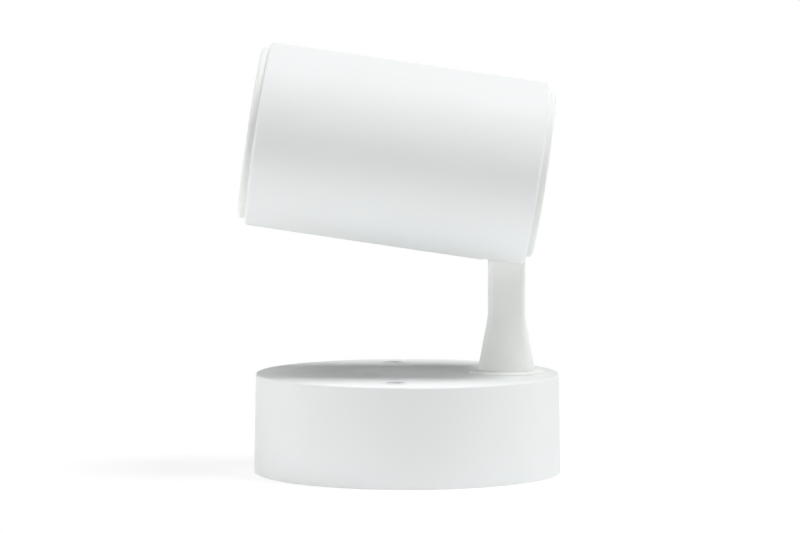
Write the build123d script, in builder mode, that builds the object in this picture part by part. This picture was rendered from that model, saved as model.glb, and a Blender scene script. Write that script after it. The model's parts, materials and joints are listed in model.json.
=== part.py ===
from build123d import *
import os
from math import cos, radians, sin, sqrt

# Surface mounted spotlight: a round canopy with the driver inside, a swivelling arm near its rim, and a
# tubular lamp head that tilts on the end of the arm.
# Lengths are millimetres, angles are degrees. Z = 0 is the mounting face, the origin is its centre, +Z
# points away from the ceiling and +X towards the swivel. On a ceiling the whole object hangs upside down.

# ---------------------------------------------------------------- driving dimensions: canopy and plate
canopy_diameter = 100.0
canopy_top_diameter = 98.8
canopy_height = 32.0
canopy_wall = 2.0
canopy_roof = 2.0
canopy_edge_radius = 0.5
plate_thickness = 1.5
plate_edge_gap = 1.0
ceiling_slot_width = 4.5
ceiling_slot_length = 10.0
ceiling_slot_inset = 10.0            # from a cover screw's axis to the slot's centre
cable_entry_diameter = 16.0
grommet_wall = 2.0
grommet_lip = 1.6

# Cover screws and the threaded pillars that take them
cover_screw_x = -4.0
cover_screw_inset = 11.4             # from the canopy's inner wall, below its roof
cover_screw_diameter = 3.5
cover_screw_head = 6.2
cover_screw_length = 11.0
cover_sink_diameter = 6.6
cover_sink_depth = 0.55              # from the canopy's top down to where the sink starts to narrow
cover_rim_diameter = 8.4
cover_rim_height = 0.3
cover_rim_round = 0.8                # the rim's rounding over its height
cover_hole_gap = 0.4
pillar_across_flats = 7.0
pillar_spigot_diameter = 4.4
pillar_gap = 0.4                     # from pillar to canopy roof

# Swivel between canopy and arm
swivel_inset = 15.1                  # from the canopy's inner wall, below its roof
swivel_tube_diameter = 10.0
swivel_tube_bore = 6.4
swivel_tube_tail = 8.5               # below the canopy roof
swivel_socket_depth = 11.05
swivel_tube_chamfer = 0.4
collar_diameter = 24.2
collar_top_diameter = 19.4
collar_height = 1.0
collar_edge = 0.45
collar_sleeve_diameter = 14.0
swivel_washer_diameter = 19.0
thrust_washer_thickness = 1.0
stop_washer_thickness = 1.2
spring_washer_diameter = 17.0
spring_washer_thickness = 1.2
swivel_nut_across_flats = 14.0
swivel_nut_height = 4.0
stop_pin_diameter = 3.0
stop_pin_radius = 12.0               # from the swivel axis
stop_pin_length = 3.5
stop_pin_depth = 1.2                 # let into the canopy roof
stop_tab_width = 2.6
stop_tab_reach = 13.3

# Arm
arm_width = 11.9
arm_depth = 12.0
arm_corner_radius = 1.8
arm_foot_diameter = 18.6
arm_foot_length = 17.85
foot_flat_angle = 32.0               # half the arc of the round foot that each flat fades into
pivot_rise = 47.9                    # from the canopy's top to the tilt axis
lead_way_radius = 2.1
lead_offset = 2.2                    # the lead passes this far off centre beside the tilt axis
lead_jog_start = 3.0                 # above the swivel tube, where the lead starts to move off centre
lead_jog_length = 14.0
lead_jog_bend = 40.0

# Tilt joint
rest_tilt = 8.4
pivot_tube_diameter = 8.0
pivot_tube_bore = 5.2
pivot_flange_diameter = 12.6
pivot_flange_thickness = 1.5
friction_washer_diameter = 11.5
friction_washer_thickness = 0.8
pivot_spring_thickness = 1.0
pivot_nut_across_flats = 11.0
pivot_nut_height = 3.5
pivot_tube_tail = 0.8
bracket_thickness = 2.0
bracket_above_pivot = 23.0
bracket_below_pivot = 5.5
bracket_bend_radius = 1.5
bracket_screw_diameter = 4.0
bracket_screw_head = 7.0
bracket_screw_length = 10.0
bracket_screw_rise = 16.0            # from the lower screw, level with the tilt axis, to the upper one

# Lamp head
tube_diameter = 60.0
tube_length = 91.5
tube_wall = 1.8
tube_edge_radius = 1.1
pivot_from_rear = 7.05
pivot_above_wall = 10.2              # from the tube's inner wall up to the tilt axis
arm_slot_gap = 0.5
bezel_gap = 0.15
bezel_proud = 2.45
bezel_depth = 9.0
bezel_mouth_wall = 2.2
bezel_lip = 2.4
bezel_edge_radius = 1.1
bezel_tail = 5.0
glass_thickness = 2.0
glass_gap = 0.2
gasket_thickness = 0.8
gasket_width = 2.0
reflector_thickness = 0.8
reflector_height = 21.2
reflector_throat_diameter = 14.0
reflector_bulge = 3.2                # how far the wall stands out from a straight cone
holder_diameter = 32.0
holder_height = 3.2
holder_screw_radius = 12.4
holder_screw_diameter = 2.0
holder_screw_head = 4.4
holder_screw_length = 7.0
holder_lead_depth = 3.0
led_board_size = 15.0
led_board_thickness = 1.0
led_emitter_diameter = 11.0
led_emitter_height = 0.6
heat_sink_gap = 0.05
heat_sink_disc = 5.0
fin_length = 23.0
fin_thickness = 1.5
fin_pitch = 3.6
fin_edge_gap = 0.8
core_margin = 0.5                    # the heat sink's core stands this far proud of the bracket's back
rear_cap_diameter = 54.6
rear_cap_proud = 2.2
rear_cap_thickness = 2.0
rear_cap_edge_radius = 0.9
rear_cap_shoulder = 0.25             # the shoulder lies this far inside the tube's end
rear_skirt_depth = 3.0
rear_skirt_wall = 1.6
rear_cap_wall = 0.8
rear_shoulder_thickness = 1.0        # behind it the skirt starts
rear_post_inset = 7.0                # from the cap's bore, sideways
rear_post_up = 8.0
rear_post_diameter = 6.4
rear_screw_diameter = 3.0
rear_screw_head = 5.5
rear_screw_length = 8.0
vent_width = 2.2
vent_pitch = 4.4
vent_web = 2.0                       # least, from the outer vents to the screws' sinks
vent_bottom = -5.0
vent_radius = 19.0                   # the circle that the vents end on

# Driver: a tray with a lid, which hangs from the canopy's roof by two ears
driver_length = 48.0
driver_width = 30.0
driver_height = 18.5
driver_centre_y = 5.0
driver_wall = 1.5
driver_corner_radius = 3.0
driver_roof_gap = 1.0
driver_swivel_gap = 1.0              # from the driver to the turning stop tab
driver_ear_drop = 6.0                # from the canopy roof to the ears
driver_ear_x = -16.0
driver_ear_reach = 5.5
driver_boss_diameter = 7.0
driver_screw_diameter = 3.0
driver_screw_head = 5.5
driver_screw_length = 7.0
board_thickness = 1.6
board_lift = 1.0
board_edge_gap = 1.5
board_pad_diameter = 3.0
transformer_length = 14.0
transformer_width = 13.0
transformer_height = 10.0
winding_length = 8.4
winding_height = 5.0
winding_proud = 1.6
large_capacitor_diameter = 8.0
large_capacitor_height = 11.0
small_capacitor_diameter = 6.3
small_capacitor_height = 8.0
choke_diameter = 9.0
choke_bore = 3.6
choke_height = 6.0
component_edge_radius = 0.4

# Terminals on the mounting plate
terminal_length = 24.0
terminal_width = 14.0
terminal_height = 11.5
terminal_inset = 29.0                # from the plate's edge to the block's middle
terminal_pillar_gap = 0.5            # from the block to the cover's pillar
terminal_pitch = 8.0
terminal_edge_radius = 0.5
terminal_wire_diameter = 3.0
terminal_wire_height = 4.0
terminal_screw_diameter = 2.8
terminal_screw_row = 4.0             # from the block's centre line to each row of screws
terminal_screw_drop = 1.2            # below the block's top
terminal_slot_width = 0.7
terminal_slot_depth = 0.9
terminal_grip = 3.5                  # how far a lead's end reaches into the block
fixing_screw_diameter = 2.5
fixing_screw_head = 4.6
earth_screw_inset = 9.0              # from the plate's edge
earth_screw_y = -8.0
earth_screw_diameter = 4.0
earth_screw_head = 7.0
earth_lug_thickness = 0.8
earth_lug_diameter = 7.6
earth_lug_tail = 3.2

# Leads
mains_lead_diameter = 2.2
mains_lead_straight = 1.0            # below the driver, before the lead bends
mains_lead_inset = 5.9               # from the driver's side
lamp_lead_diameter = 2.6
lamp_lead_reach = 4.0                # over the driver's board
lamp_lead_bend = 5.5
lamp_lead_up = -4.0
pivot_lead_bend = 4.6

# Screw heads and recesses, as shares of the screw's own sizes
pan_head_share = 0.62                # a pan head's height over its shank's diameter
pan_edge_share = 0.3                 # a pan head's edge radius over its height
recess_span_share = 0.55             # the cross recess over the head's diameter
recess_width_share = 0.16
recess_depth_share = 0.65            # over the head's height
nut_corner_share = 1.09              # the circle that eases a nut's corners, over its flats

# Fits: radial for round pairs, straight for faces
running_fit = 0.05                   # a shaft that turns in its bore
face_gap = 0.05                      # between faces that turn on each other
screw_fit = 0.02                     # a screw in its thread, a pin in its seat
slip_fit = 0.1                       # pieces that slide together when they are assembled
lead_hole_gap = 0.3
thread_run_out = 1.0                 # a threaded hole goes this much deeper than its screw

# ---------------------------------------------------------------- places worked out from the dimensions
canopy_radius = canopy_diameter / 2
canopy_inner_radius = canopy_radius - canopy_wall
canopy_draft = (canopy_diameter - canopy_top_diameter) / 2
roof_inner_radius = canopy_inner_radius - canopy_draft
roof_z = canopy_height - canopy_roof
plate_radius = canopy_inner_radius - plate_edge_gap
cover_screw_y = roof_inner_radius - cover_screw_inset
cover_screw_places = [(cover_screw_x, side * cover_screw_y) for side in (-1, 1)]
ceiling_slot_y = cover_screw_y - ceiling_slot_inset
grommet_radius = cable_entry_diameter / 2 + grommet_wall

swivel_x = roof_inner_radius - swivel_inset
swivel = Plane(origin=(swivel_x, 0, 0))
swivel_section = Plane(origin=(swivel_x, 0, 0), x_dir=(1, 0, 0), z_dir=(0, -1, 0))
foot_z = canopy_height + collar_height + face_gap
kink_z = foot_z + arm_foot_length
pivot_z = canopy_height + pivot_rise
thrust_z = roof_z - face_gap
stop_z = thrust_z - thrust_washer_thickness
spring_z = stop_z - stop_washer_thickness
swivel_nut_z = spring_z - spring_washer_thickness
swivel_tube_bottom = roof_z - swivel_tube_tail
swivel_tube_top = foot_z + swivel_socket_depth

# The head's own frame: s runs forward along its axis from the tube's middle, side is +Y, and up is square
# to both
head_forward = Vector(-cos(radians(rest_tilt)), 0, sin(radians(rest_tilt)))
head_up = Vector(sin(radians(rest_tilt)), 0, cos(radians(rest_tilt)))
tube_radius = tube_diameter / 2
tube_inner_radius = tube_radius - tube_wall
pivot_s = pivot_from_rear - tube_length / 2
pivot_up = pivot_above_wall - tube_inner_radius
pivot_point = Vector(swivel_x, 0, pivot_z)
head_centre = pivot_point - head_forward * pivot_s - head_up * pivot_up
head = Plane(origin=head_centre, x_dir=(0, -1, 0), z_dir=head_forward)
head_section = Plane(origin=head_centre, x_dir=head_up, z_dir=(0, -1, 0))
head_axis = Axis(head_centre, head_forward)
tilt = Plane(origin=pivot_point, x_dir=head_forward, z_dir=(0, 1, 0))

bezel_front = tube_length / 2 + bezel_proud
glass_front = bezel_front - bezel_depth
glass_back = glass_front - glass_thickness
reflector_front = glass_back - gasket_thickness
holder_front = reflector_front - reflector_height
sink_front = holder_front - holder_height
sink_back = sink_front - heat_sink_disc
fin_back = sink_back - fin_length
bracket_back = fin_back - bracket_thickness
cap_back = -(tube_length / 2 + rear_cap_proud)
cap_inside = cap_back + rear_cap_thickness
cap_shoulder = rear_cap_shoulder - tube_length / 2
rear_cap_radius = rear_cap_diameter / 2
rear_skirt_bore = tube_inner_radius - slip_fit - rear_skirt_wall
rear_cap_bore = min(rear_cap_radius - rear_cap_wall, rear_skirt_bore)
rear_post_side = rear_cap_bore - rear_post_inset
bezel_radius = tube_inner_radius - bezel_gap
glass_seat_radius = bezel_radius - bezel_lip
glass_radius = glass_seat_radius - glass_gap
sink_radius = tube_inner_radius - heat_sink_gap
fin_radius = tube_inner_radius - fin_edge_gap
arm_slot_half = arm_depth / 2 + arm_slot_gap

# Stack along the tilt axis, outwards from the arm's middle
washer_y = arm_depth / 2 + face_gap
lug_y = washer_y + friction_washer_thickness
outside_y = lug_y + bracket_thickness + face_gap
pivot_nut_y = outside_y + pivot_spring_thickness
pivot_tube_end = pivot_nut_y + pivot_nut_height + pivot_tube_tail
lead_joint_y = pivot_tube_end + pivot_tube_tail

driver_x_max = swivel_x - stop_tab_reach - driver_swivel_gap
driver_x_min = driver_x_max - driver_length
driver_x = (driver_x_min + driver_x_max) / 2
driver_top = roof_z - driver_roof_gap
driver_bottom = driver_top - driver_height
driver_y_min = driver_centre_y - driver_width / 2
driver_y_max = driver_centre_y + driver_width / 2
lid_bottom = driver_top - driver_wall
board_bottom = driver_bottom + driver_wall + board_lift
board_top = board_bottom + board_thickness
ear_z = roof_z - driver_ear_drop
ear_ys = (driver_y_min - driver_ear_reach, driver_y_max + driver_ear_reach)
ear_places = [(driver_ear_x, y) for y in ear_ys]
lamp_lead_z = board_top + lamp_lead_diameter / 2 + slip_fit
lamp_joint_z = lamp_lead_z + lamp_lead_bend + slip_fit
terminal_x = terminal_inset - plate_radius
terminal_y = terminal_pillar_gap + (pillar_across_flats + terminal_width) / 2 - cover_screw_y
earth_screw_x = earth_screw_inset - plate_radius
pole_xs = [terminal_x + step * terminal_pitch for step in (-1, 0, 1)]
fixing_places = [(terminal_x + side * terminal_pitch / 2, terminal_y) for side in (-1, 1)]
wire_z = plate_thickness + terminal_wire_height
mains_lead_y = driver_y_min + mains_lead_inset


def head_point(s, side, up):
    """A point of the lamp head, from its distance forward, to +Y and up."""
    return head_centre + head_forward * s + Vector(0, side, 0) + head_up * up


def facing_back(s, side, up):
    """A plane on the lamp head that faces its rear."""
    return Plane(origin=head_point(s, side, up), x_dir=(0, 1, 0), z_dir=head_forward * -1)


def ring(plane, outer_radius, inner_radius, thickness):
    """A flat washer that stands on a plane."""
    with BuildPart() as washer:
        with BuildSketch(plane):
            Circle(outer_radius)
            Circle(inner_radius, mode=Mode.SUBTRACT)
        extrude(amount=thickness)
    return washer.part


def hex_nut(plane, across_flats, bore_radius, height):
    """A hexagon nut with its corners eased, standing on a plane."""
    with BuildPart() as nut:
        with BuildSketch(plane):
            RegularPolygon(across_flats / 2, 6, major_radius=False)
        extrude(amount=height)
        with BuildSketch(plane):
            Circle(across_flats / 2 * nut_corner_share)
        extrude(amount=height, mode=Mode.INTERSECT)
        with BuildSketch(plane):
            Circle(bore_radius)
        extrude(amount=height, mode=Mode.SUBTRACT)
    return nut.part


def screw(shank_diameter, head_diameter, length, countersunk=False):
    """A cross-recessed screw along -Z, its head's top at the origin if countersunk, else its seat."""
    head_height = (head_diameter - shank_diameter) / 2 if countersunk else pan_head_share * shank_diameter
    head_top = 0 if countersunk else head_height
    recess_span = recess_span_share * head_diameter
    recess_width = recess_width_share * head_diameter
    with BuildPart() as body:
        with BuildSketch(Plane.XY.offset(head_top)):
            Circle(head_diameter / 2)
        extrude(amount=-head_height, taper=45 if countersunk else 0)
        if not countersunk:
            fillet(body.edges().group_by(Axis.Z)[-1], pan_edge_share * head_height)
        with BuildSketch():
            Circle(shank_diameter / 2)
        extrude(amount=-length)
        with BuildSketch(Plane.XY.offset(head_top)):
            Rectangle(recess_span, recess_width)
            Rectangle(recess_width, recess_span)
        extrude(amount=-recess_depth_share * head_height, mode=Mode.SUBTRACT)
    return body.part


def lead(points, radii, diameter):
    """A round lead along straight runs joined by tangent arcs."""
    with BuildPart() as wire:
        with BuildLine() as route:
            FilletPolyline(*points, radius=radii)
        with BuildSketch(Plane(origin=route.line @ 0, z_dir=route.line % 0)):
            Circle(diameter / 2)
        sweep()
    return wire.part


os.makedirs("parts", exist_ok=True)

# ================================================================ canopy, fixed to the ceiling

with BuildPart() as mounting_plate:
    with BuildSketch():
        Circle(plate_radius)
        Circle(grommet_radius + slip_fit, mode=Mode.SUBTRACT)
        with Locations((0, -ceiling_slot_y), (0, ceiling_slot_y)):
            SlotOverall(ceiling_slot_length, ceiling_slot_width, rotation=90, mode=Mode.SUBTRACT)
        with Locations(*cover_screw_places):
            Circle(pillar_spigot_diameter / 2 + screw_fit, mode=Mode.SUBTRACT)
        with Locations(*fixing_places):
            Circle(fixing_screw_diameter / 2 + screw_fit, mode=Mode.SUBTRACT)
        with Locations((earth_screw_x, earth_screw_y)):
            Circle(earth_screw_diameter / 2 + screw_fit, mode=Mode.SUBTRACT)
    extrude(amount=plate_thickness)
    fillet(mounting_plate.edges().group_by(Axis.Z)[-1].sort_by(SortBy.LENGTH)[-1], plate_thickness / 3)
mounting_plate.part.label = "mounting_plate"
export_step(mounting_plate.part, "parts/mounting_plate.step")

# A snap-in bush lines the cable entry, with its lip on the inside only, so that the plate lies flat
with BuildPart() as cable_grommet:
    with BuildSketch(Plane.XZ):
        with BuildLine():
            Polyline(
                (cable_entry_diameter / 2, 0),
                (grommet_radius, 0),
                (grommet_radius, plate_thickness),
                (grommet_radius + grommet_lip, plate_thickness),
                (grommet_radius + grommet_lip, plate_thickness + grommet_lip),
                (cable_entry_diameter / 2, plate_thickness + grommet_lip),
                close=True,
            )
        make_face()
    revolve(axis=Axis.Z)
    fillet(cable_grommet.edges().group_by(Axis.Z)[-1].sort_by(SortBy.LENGTH)[-1], grommet_lip / 2)
cable_grommet.part.label = "cable_grommet"
export_step(cable_grommet.part, "parts/cable_grommet.step")

with BuildPart() as cover_pillars:
    with BuildSketch():
        with Locations(*cover_screw_places):
            Circle(pillar_spigot_diameter / 2)
    extrude(amount=plate_thickness)
    with BuildSketch(Plane.XY.offset(plate_thickness)):
        with Locations(*cover_screw_places):
            RegularPolygon(pillar_across_flats / 2, 6, major_radius=False)
    extrude(amount=roof_z - pillar_gap - plate_thickness)
    with BuildSketch(Plane.XY.offset(canopy_height - cover_screw_length - thread_run_out)):
        with Locations(*cover_screw_places):
            Circle(cover_screw_diameter / 2 + screw_fit)
    extrude(amount=cover_screw_length, mode=Mode.SUBTRACT)
cover_pillars.part.label = "cover_pillars"
export_step(cover_pillars.part, "parts/cover_pillars.step")

# The canopy is a drafted cup. A low rounded rim stands round each cover screw, whose head lies sunk in it.
with BuildPart() as base_cover:
    with BuildSketch(Plane.XZ):
        with BuildLine():
            Polyline(
                (canopy_inner_radius, 0),
                (canopy_radius, 0),
                (canopy_radius - canopy_draft, canopy_height),
                (0, canopy_height),
                (0, roof_z),
                (roof_inner_radius, roof_z),
                close=True,
            )
        make_face()
    revolve(axis=Axis.Z)
    fillet(base_cover.edges().group_by(Axis.Z)[-1], canopy_edge_radius)
    with BuildSketch(Plane.XY.offset(ear_z)):
        with Locations(*ear_places):
            Circle(driver_boss_diameter / 2)
    extrude(amount=driver_ear_drop)
    with BuildSketch(Plane.XY.offset(ear_z)):
        with Locations(*ear_places):
            Circle(driver_screw_diameter / 2 + screw_fit)
    extrude(amount=driver_ear_drop, mode=Mode.SUBTRACT)
    cover_hole_radius = cover_screw_diameter / 2 + cover_hole_gap
    with BuildSketch(Plane.XY.offset(canopy_height)):
        with Locations(*cover_screw_places):
            Circle(cover_rim_diameter / 2)
    extrude(amount=cover_rim_height)
    with Locations(*[(x, y, canopy_height - cover_sink_depth) for x, y in cover_screw_places]):
        CounterSinkHole(cover_hole_radius, cover_sink_diameter / 2, counter_sink_angle=90)
    fillet(base_cover.edges().group_by(Axis.Z)[-1], cover_rim_height * cover_rim_round)
    with Locations((swivel_x, 0, canopy_height)):
        Hole(collar_sleeve_diameter / 2 + running_fit)
    with BuildSketch(Plane.XY.offset(roof_z)):
        with Locations((swivel_x - stop_pin_radius, 0)):
            Circle(stop_pin_diameter / 2 + screw_fit)
    extrude(amount=stop_pin_depth, mode=Mode.SUBTRACT)
base_cover.part.label = "base_cover"
export_step(base_cover.part, "parts/base_cover.step")

sunk_depth = cover_sink_depth + (cover_sink_diameter - cover_screw_head) / 2
with BuildPart() as cover_screws:
    with Locations(*[(x, y, canopy_height - sunk_depth) for x, y in cover_screw_places]):
        add(screw(cover_screw_diameter, cover_screw_head, cover_screw_length, countersunk=True))
cover_screws.part.label = "cover_screws"
export_step(cover_screws.part, "parts/cover_screws.step")

# ================================================================ swivel

with BuildPart() as swivel_collar:
    with BuildSketch(swivel_section):
        with BuildLine():
            Polyline(
                (collar_diameter / 2, canopy_height),
                (collar_diameter / 2, canopy_height + collar_edge),
                (collar_top_diameter / 2, canopy_height + collar_height),
                (swivel_tube_diameter / 2 + running_fit, canopy_height + collar_height),
                (swivel_tube_diameter / 2 + running_fit, roof_z),
                (collar_sleeve_diameter / 2, roof_z),
                (collar_sleeve_diameter / 2, canopy_height),
                close=True,
            )
        make_face()
    revolve(axis=Axis((swivel_x, 0, 0), (0, 0, 1)))
    shown_edges = swivel_collar.edges().filter_by(lambda edge: edge.center().Z > canopy_height)
    fillet(shown_edges.filter_by(GeomType.CIRCLE).sort_by(SortBy.RADIUS)[-2:], collar_edge)
swivel_collar.part.label = "swivel_collar"
export_step(swivel_collar.part, "parts/swivel_collar.step")

with BuildPart() as stop_pin:
    with BuildSketch(Plane.XY.offset(roof_z + stop_pin_depth)):
        with Locations((swivel_x - stop_pin_radius, 0)):
            Circle(stop_pin_diameter / 2)
    extrude(amount=-stop_pin_depth - stop_pin_length)
    fillet(stop_pin.edges().group_by(Axis.Z)[0], stop_pin_diameter / 8)
stop_pin.part.label = "stop_pin"
export_step(stop_pin.part, "parts/stop_pin.step")

with BuildPart() as swivel_tube:
    with BuildSketch(swivel.offset(swivel_tube_bottom)):
        Circle(swivel_tube_diameter / 2)
        Circle(swivel_tube_bore / 2, mode=Mode.SUBTRACT)
    extrude(amount=swivel_tube_top - swivel_tube_bottom)
    chamfer(swivel_tube.edges().filter_by(GeomType.CIRCLE).sort_by(SortBy.RADIUS)[-2:], swivel_tube_chamfer)
swivel_tube.part.label = "swivel_tube"
export_step(swivel_tube.part, "parts/swivel_tube.step")

swivel_bore_radius = swivel_tube_diameter / 2 + screw_fit
swivel_washer_radius = swivel_washer_diameter / 2
with BuildPart() as thrust_washer:
    add(ring(swivel.offset(stop_z), swivel_washer_radius, swivel_bore_radius, thrust_washer_thickness))
thrust_washer.part.label = "thrust_washer"
export_step(thrust_washer.part, "parts/thrust_washer.step")

# Its tab meets the stop pin nearly half a turn each way from where it stands, on the far side of the axis
with BuildPart() as stop_washer:
    with BuildSketch(swivel.offset(spring_z)):
        Circle(swivel_washer_radius)
        with Locations((stop_tab_reach / 2, 0)):
            Rectangle(stop_tab_reach, stop_tab_width)
        Circle(swivel_bore_radius, mode=Mode.SUBTRACT)
    extrude(amount=stop_washer_thickness)
stop_washer.part.label = "stop_washer"
export_step(stop_washer.part, "parts/stop_washer.step")

with BuildPart() as swivel_spring_washer:
    washer_plane = swivel.offset(swivel_nut_z)
    add(ring(washer_plane, spring_washer_diameter / 2, swivel_bore_radius, spring_washer_thickness))
swivel_spring_washer.part.label = "swivel_spring_washer"
export_step(swivel_spring_washer.part, "parts/swivel_spring_washer.step")

with BuildPart() as swivel_nut:
    nut_plane = swivel.offset(swivel_nut_z - swivel_nut_height)
    add(hex_nut(nut_plane, swivel_nut_across_flats, swivel_bore_radius, swivel_nut_height))
swivel_nut.part.label = "swivel_nut"
export_step(swivel_nut.part, "parts/swivel_nut.step")

# ================================================================ arm

# A round foot draws in to a rectangular bar, whose rounded end is the eye of the tilt joint. The foot's
# outline is cut into arcs that match the bar's flats and corners, so that each flat fades into the round.
with BuildPart() as arm:
    with BuildSketch(Plane.XZ):
        with Locations((swivel_x, (kink_z + pivot_z) / 2)):
            Rectangle(arm_width, pivot_z - kink_z)
        with Locations((swivel_x, pivot_z)):
            Circle(arm_width / 2)
    extrude(amount=arm_depth / 2, both=True)
    flat_edges = arm.faces().filter_by(Axis.Y).edges()
    bar_edges = flat_edges.filter_by(lambda edge: edge.center().Z > kink_z + arm_corner_radius)
    fillet(bar_edges, arm_corner_radius)
    with BuildSketch(swivel.offset(foot_z)):
        with BuildLine():
            for turn in (0, 90, 180, 270):
                CenterArc((0, 0), arm_foot_diameter / 2, turn - foot_flat_angle, 2 * foot_flat_angle)
                CenterArc((0, 0), arm_foot_diameter / 2, turn + foot_flat_angle, 90 - 2 * foot_flat_angle)
        make_face()
    with BuildSketch(swivel.offset(kink_z)):
        RectangleRounded(arm_width, arm_depth, arm_corner_radius)
    loft()
    with BuildSketch(swivel.offset(foot_z)):
        Circle(swivel_bore_radius)
    extrude(amount=swivel_socket_depth, mode=Mode.SUBTRACT)
    with BuildSketch(swivel.offset(swivel_tube_top)):
        with Locations((0, -lead_offset / 2)):
            SlotCenterToCenter(lead_offset, 2 * lead_way_radius, rotation=90)
    extrude(amount=pivot_z - swivel_tube_top, mode=Mode.SUBTRACT)
    with BuildSketch(Plane.XZ):
        with Locations((swivel_x, pivot_z)):
            Circle(pivot_tube_diameter / 2 + screw_fit)
    extrude(amount=arm_depth, both=True, mode=Mode.SUBTRACT)
arm.part.label = "arm"
export_step(arm.part, "parts/arm.step")

# ================================================================ tilt joint

# A hollow pivot, fixed in the arm's eye, that the head's bracket turns on. The lead enters it from below
# through a window and leaves along its bore.
with BuildPart() as pivot_tube:
    with BuildSketch(tilt.offset(-outside_y - pivot_flange_thickness)):
        Circle(pivot_flange_diameter / 2)
    extrude(amount=pivot_flange_thickness)
    fillet(pivot_tube.edges().group_by(Axis.Y)[0], pivot_flange_thickness / 3)
    with BuildSketch(tilt.offset(-outside_y)):
        Circle(pivot_tube_diameter / 2)
    extrude(amount=outside_y + pivot_tube_end)
    with BuildSketch(tilt.offset(-outside_y)):
        Circle(pivot_tube_bore / 2)
    extrude(amount=outside_y + pivot_tube_end, mode=Mode.SUBTRACT)
    with BuildSketch(Plane.XY.offset(pivot_z)):
        with Locations((swivel_x, -lead_offset / 2)):
            SlotCenterToCenter(lead_offset, 2 * lead_way_radius, rotation=90)
    extrude(amount=-pivot_tube_diameter, mode=Mode.SUBTRACT)
pivot_tube.part.label = "pivot_tube"
export_step(pivot_tube.part, "parts/pivot_tube.step")

pivot_washer_radius = friction_washer_diameter / 2
pivot_bore_radius = pivot_tube_diameter / 2 + screw_fit
with BuildPart() as pivot_spring_washer:
    add(ring(tilt.offset(outside_y), pivot_washer_radius, pivot_bore_radius, pivot_spring_thickness))
pivot_spring_washer.part.label = "pivot_spring_washer"
export_step(pivot_spring_washer.part, "parts/pivot_spring_washer.step")

with BuildPart() as pivot_nut:
    add(hex_nut(tilt.offset(pivot_nut_y), pivot_nut_across_flats, pivot_bore_radius, pivot_nut_height))
pivot_nut.part.label = "pivot_nut"
export_step(pivot_nut.part, "parts/pivot_nut.step")

lug_bore_radius = pivot_tube_diameter / 2 + running_fit
with BuildPart() as friction_washers:
    for start_y in (washer_y, -lug_y):
        add(ring(tilt.offset(start_y), pivot_washer_radius, lug_bore_radius, friction_washer_thickness))
friction_washers.part.label = "friction_washers"
export_step(friction_washers.part, "parts/friction_washers.step")

# ================================================================ lamp head

# A U of bent sheet: its back is screwed to the heat sink's core and its two ears hold the pivot
bracket_bottom = pivot_up - bracket_below_pivot
bracket_height = bracket_below_pivot + bracket_above_pivot
bracket_screw_ups = (pivot_up, pivot_up + bracket_screw_rise)
bracket_half = lug_y + bracket_thickness
with BuildPart() as pivot_bracket:
    with BuildSketch(tilt.offset(-bracket_half)):
        Circle(bracket_below_pivot)
        with Locations(((fin_back - pivot_s) / 2, 0)):
            Rectangle(fin_back - pivot_s, 2 * bracket_below_pivot)
    extrude(amount=2 * bracket_half)
    with BuildSketch(head.offset(bracket_back)):
        with Locations((0, bracket_bottom + bracket_height / 2)):
            Rectangle(2 * bracket_half, bracket_height)
    extrude(amount=bracket_thickness)
    bend_edges = pivot_bracket.edges().filter_by(Axis(head_centre, head_up))
    fillet(bend_edges.group_by(head_axis)[-1], bracket_bend_radius)
    with BuildSketch(tilt.offset(-lug_y)):
        with Locations(((bracket_back - pivot_s) / 2 - bracket_below_pivot, 0)):
            Rectangle(bracket_back - pivot_s + 2 * bracket_below_pivot, 2 * bracket_height)
    extrude(amount=2 * lug_y, mode=Mode.SUBTRACT)
    with BuildSketch(tilt):
        Circle(lug_bore_radius)
    extrude(amount=2 * bracket_half, both=True, mode=Mode.SUBTRACT)
    with BuildSketch(head.offset(bracket_back)):
        with Locations(*[(0, up) for up in bracket_screw_ups]):
            Circle(bracket_screw_diameter / 2 + slip_fit)
    extrude(amount=bracket_thickness, mode=Mode.SUBTRACT)
pivot_bracket.part.label = "pivot_bracket"
export_step(pivot_bracket.part, "parts/pivot_bracket.step")

with BuildPart() as bracket_screws:
    with Locations(*[facing_back(bracket_back, 0, up) for up in bracket_screw_ups]):
        add(screw(bracket_screw_diameter, bracket_screw_head, bracket_screw_length))
bracket_screws.part.label = "bracket_screws"
export_step(bracket_screws.part, "parts/bracket_screws.step")

with BuildPart() as head_tube:
    with BuildSketch(head.offset(-tube_length / 2)):
        Circle(tube_radius)
        Circle(tube_inner_radius, mode=Mode.SUBTRACT)
    extrude(amount=tube_length)
    outer_edges = head_tube.edges().filter_by(GeomType.CIRCLE).sort_by(SortBy.RADIUS)[-2:]
    fillet(outer_edges, tube_edge_radius)
    slot_length = 2 * (pivot_from_rear + arm_width / 2 + arm_slot_gap)
    slot_start = head_point(-tube_length / 2, 0, -tube_diameter)
    with BuildSketch(Plane(origin=slot_start, x_dir=head_forward, z_dir=head_up)):
        RectangleRounded(slot_length, 2 * arm_slot_half, arm_corner_radius)
    extrude(amount=tube_diameter, mode=Mode.SUBTRACT)
head_tube.part.label = "head_tube"
export_step(head_tube.part, "parts/head_tube.step")

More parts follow.
